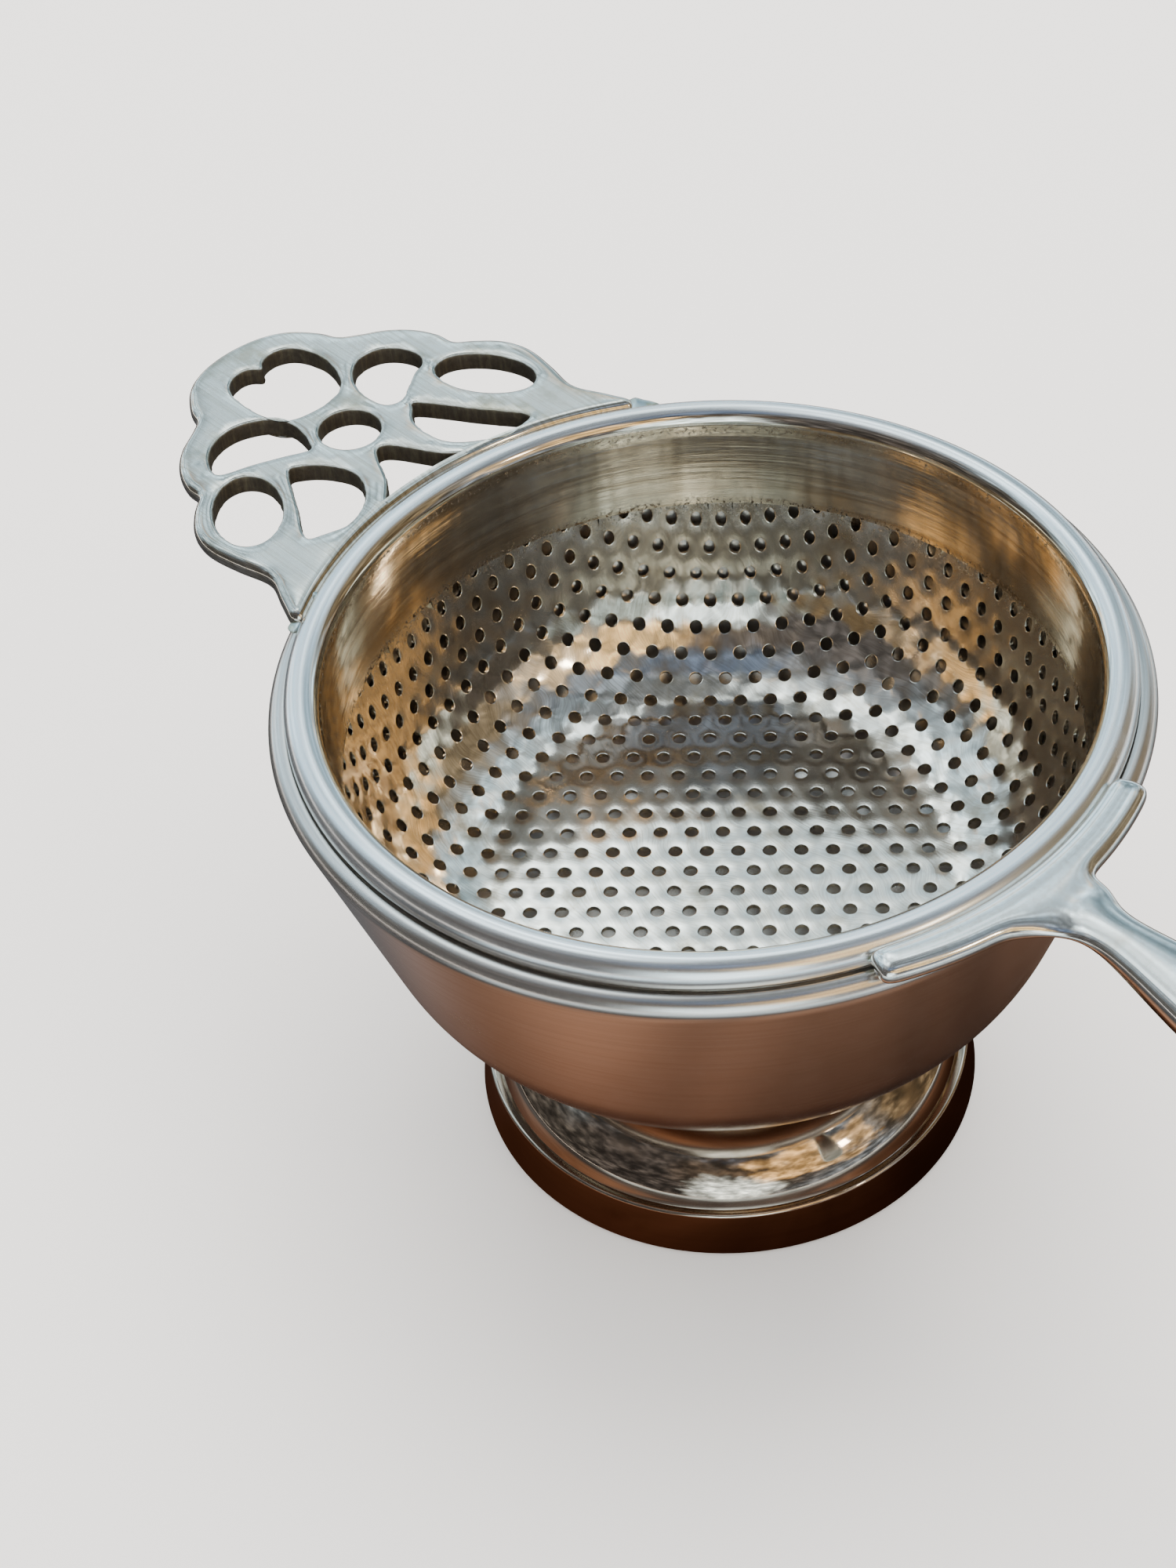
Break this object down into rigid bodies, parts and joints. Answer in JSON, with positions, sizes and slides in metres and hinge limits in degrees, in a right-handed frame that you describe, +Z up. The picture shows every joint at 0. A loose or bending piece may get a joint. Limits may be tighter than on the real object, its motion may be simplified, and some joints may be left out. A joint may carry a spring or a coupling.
{
  "type": "tea strainer",
  "caption": "Plated metal tea strainer with a perforated bowl, pierced ear and forked handle, resting in a footed drip bowl.",
  "frame": {"origin": "centre of the foot, on the surface it stands on", "axes": "+Z up along the bowls' common axis, +X along the handle, the ear points along -X"},
  "size_m": [0.1459, 0.0668, 0.0465],
  "materials": {
    "polished_plate": "polished plate with fine spun lines",
    "pressed_sheet": "plated perforated sheet, scratched",
    "cast_plate": "plated casting, satin top, polished edges",
    "solder": "dull solder under plate"
  },
  "bodies": {
    "stand": {"drip_bowl": "polished_plate", "stand_foot": "polished_plate", "foot_solder": "solder"},
    "strainer": {"strainer_collar": "polished_plate", "perforated_bowl": "pressed_sheet", "bowl_seam_solder": "solder", "pierced_ear": "cast_plate", "ear_solder_left": "solder", "ear_solder_right": "solder", "handle": "cast_plate", "handle_solder_left": "solder", "handle_solder_right": "solder"}
  },
  "joints": [
    {"name": "strainer_lift", "type": "slide", "parent": "stand", "child": "strainer", "axis": [0, 0, 1], "range_m": [0, 0.045]}
  ]
}
